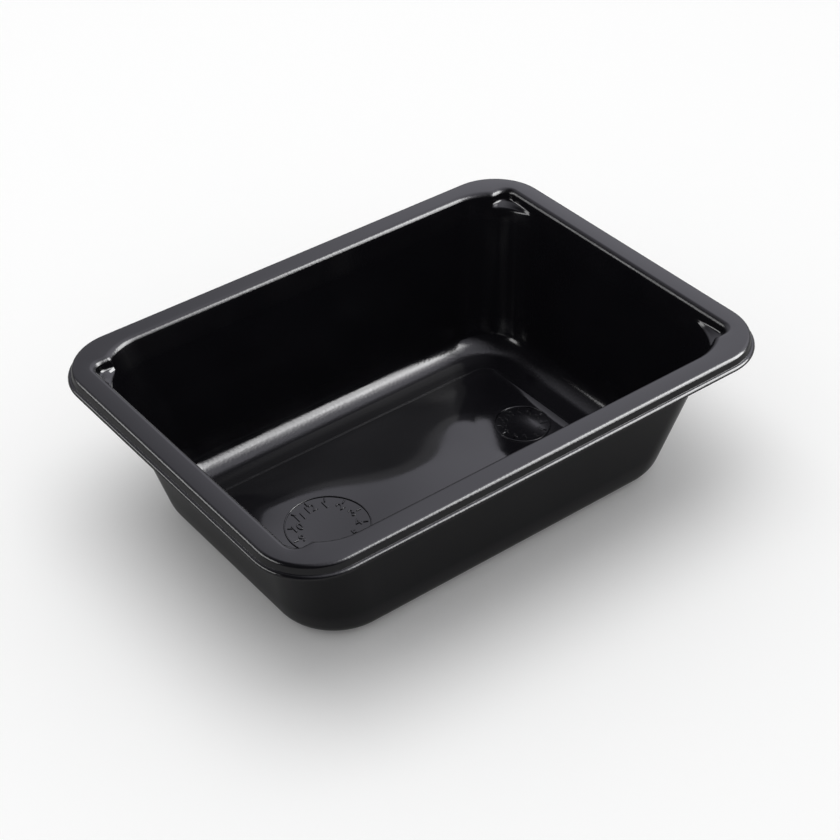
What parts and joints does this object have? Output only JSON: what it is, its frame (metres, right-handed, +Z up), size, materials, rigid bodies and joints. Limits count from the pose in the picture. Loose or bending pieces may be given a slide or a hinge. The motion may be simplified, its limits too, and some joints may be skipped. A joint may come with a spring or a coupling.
{
  "type": "food tray",
  "caption": "Rectangular thermoformed food tray with leaning walls, a flat sealing flange, a stepped rim with an outward lip, and a stacking pocket in each corner of the mouth.",
  "frame": {"origin": "middle of the base, on the surface that the tray stands on", "axes": "+X along the long side, +Y along the short side, +Z up through the open mouth"},
  "size_m": [0.187, 0.1386, 0.0543],
  "materials": {
    "tray_plastic": "black, softly glossy formed sheet"
  },
  "bodies": {
    "root": {"tray": "tray_plastic"}
  },
  "joints": []
}
